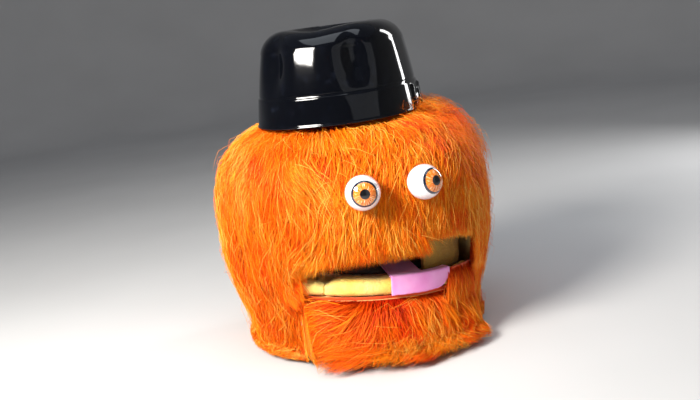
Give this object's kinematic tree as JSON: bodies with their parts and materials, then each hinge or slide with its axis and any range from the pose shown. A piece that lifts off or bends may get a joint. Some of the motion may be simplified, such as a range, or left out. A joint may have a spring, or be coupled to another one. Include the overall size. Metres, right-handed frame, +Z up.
{
  "type": "moving mouth puppet",
  "caption": "Furry round puppet head with a hinged talking jaw, ball eyes, craft-foam tongue and a moulded plastic hat crown, hollow for a hand.",
  "frame": {"origin": "on the table under the middle of the whole outline, hat and eyes included", "axes": "+Z up, the face looks along -Y, the puppet's own left is +X"},
  "size_m": [0.2886, 0.3077, 0.324],
  "materials": {
    "orange_fur": "matte",
    "foam": "matte",
    "lip_foam": "matte",
    "hat_plastic": "gloss",
    "eye_plastic": "gloss",
    "plywood": "matte",
    "black_felt": "matte",
    "elastic": "matte",
    "hinge_steel": "satin",
    "rivet_metal": "satin",
    "tongue_foam": "matte"
  },
  "bodies": {
    "head": {"face_foam": "foam", "side_foam_left": "foam", "side_foam_right": "foam", "back_foam": "foam", "crown_foam": "foam", "cheek_foam_left": "foam", "cheek_foam_right": "foam", "fur_face": "orange_fur", "fur_side_left": "orange_fur", "fur_side_right": "orange_fur", "fur_back": "orange_fur", "fur_crown": "orange_fur", "hat_shell": "hat_plastic", "hat_plug": "foam", "eyeball_left": "eye_plastic", "eyeball_right": "eye_plastic", "eye_pad_left": "black_felt", "eye_pad_right": "black_felt", "upper_mouth_board": "plywood", "upper_mouth_felt": "black_felt", "finger_strap": "elastic", "hinge_leaf_upper": "hinge_steel", "hinge_rivets_upper": "rivet_metal", "hinge_pin": "hinge_steel"},
    "jaw": {"jaw_foam": "foam", "lip_foam_left": "lip_foam", "lip_foam_right": "lip_foam", "lower_mouth_board": "plywood", "lower_mouth_felt": "black_felt", "thumb_strap": "elastic", "hinge_leaf_lower": "hinge_steel", "hinge_rivets_lower": "rivet_metal", "tongue": "tongue_foam", "fur_jaw": "orange_fur"}
  },
  "joints": [
    {"name": "jaw_hinge", "type": "hinge", "parent": "head", "child": "jaw", "pos_m": [0, 0.02972, 0.1005], "axis": [0.9954, 0, -0.0958], "range_deg": [-6, 12]}
  ]
}
